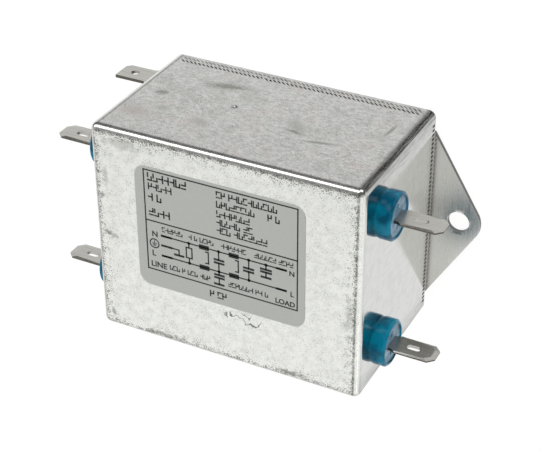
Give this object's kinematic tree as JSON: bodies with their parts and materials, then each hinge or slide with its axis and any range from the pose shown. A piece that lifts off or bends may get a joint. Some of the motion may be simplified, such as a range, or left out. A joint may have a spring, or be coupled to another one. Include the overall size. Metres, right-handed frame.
{
  "type": "emi line filter",
  "caption": "Chassis-mount mains interference filter: tinned steel can on a flat plate with two drilled ears, push-on tabs in blue bushes at both ends and a printed label on top.",
  "frame": {"origin": "on the mounting surface, midway between the two mounting holes", "axes": "+X from the LINE end to the LOAD end, +Y across the can on the neutral tabs' side, +Z away from the mounting surface towards the label"},
  "size_m": [0.0988, 0.0562, 0.0416],
  "materials": {
    "tinned_steel": "bright tin plate, lightly scuffed",
    "plated_steel": "zinc-plated sheet with fine rolling streaks",
    "label_film": "matt grey printed film",
    "blue_nylon": "moulded nylon, slightly translucent",
    "tinned_brass": "dull tin plate on stamped brass",
    "tub_plastic": "moulded",
    "ferrite": "coated ferrite",
    "enamelled_copper": "enamelled copper wire",
    "capacitor_box": "moulded box",
    "resistor_coat": "lacquered",
    "neutral_insulation": "extruded insulation",
    "phase_insulation": "extruded insulation",
    "tinned_wire": "tinned copper wire"
  },
  "bodies": {
    "root": {"case": "tinned_steel", "bottom_lid": "tinned_steel", "mounting_plate": "plated_steel", "rating_label": "label_film", "line_neutral_bush": "blue_nylon", "line_phase_bush": "blue_nylon", "load_neutral_bush": "blue_nylon", "load_phase_bush": "blue_nylon", "line_neutral_tab": "tinned_brass", "line_phase_tab": "tinned_brass", "load_neutral_tab": "tinned_brass", "load_phase_tab": "tinned_brass", "earth_tab": "tinned_brass", "inner_tub": "tub_plastic", "line_choke_core": "ferrite", "load_choke_core": "ferrite", "line_choke_neutral_winding": "enamelled_copper", "line_choke_phase_winding": "enamelled_copper", "load_choke_neutral_winding": "enamelled_copper", "load_choke_phase_winding": "enamelled_copper", "line_x_capacitor": "capacitor_box", "load_x_capacitor": "capacitor_box", "line_y_capacitor": "capacitor_box", "load_y_capacitor": "capacitor_box", "discharge_resistor": "resistor_coat", "line_neutral_lead": "neutral_insulation", "load_neutral_lead": "neutral_insulation", "line_phase_lead": "phase_insulation", "load_phase_lead": "phase_insulation", "neutral_bus": "tinned_wire", "phase_bus": "tinned_wire", "earth_lead": "tinned_wire"}
  },
  "joints": []
}
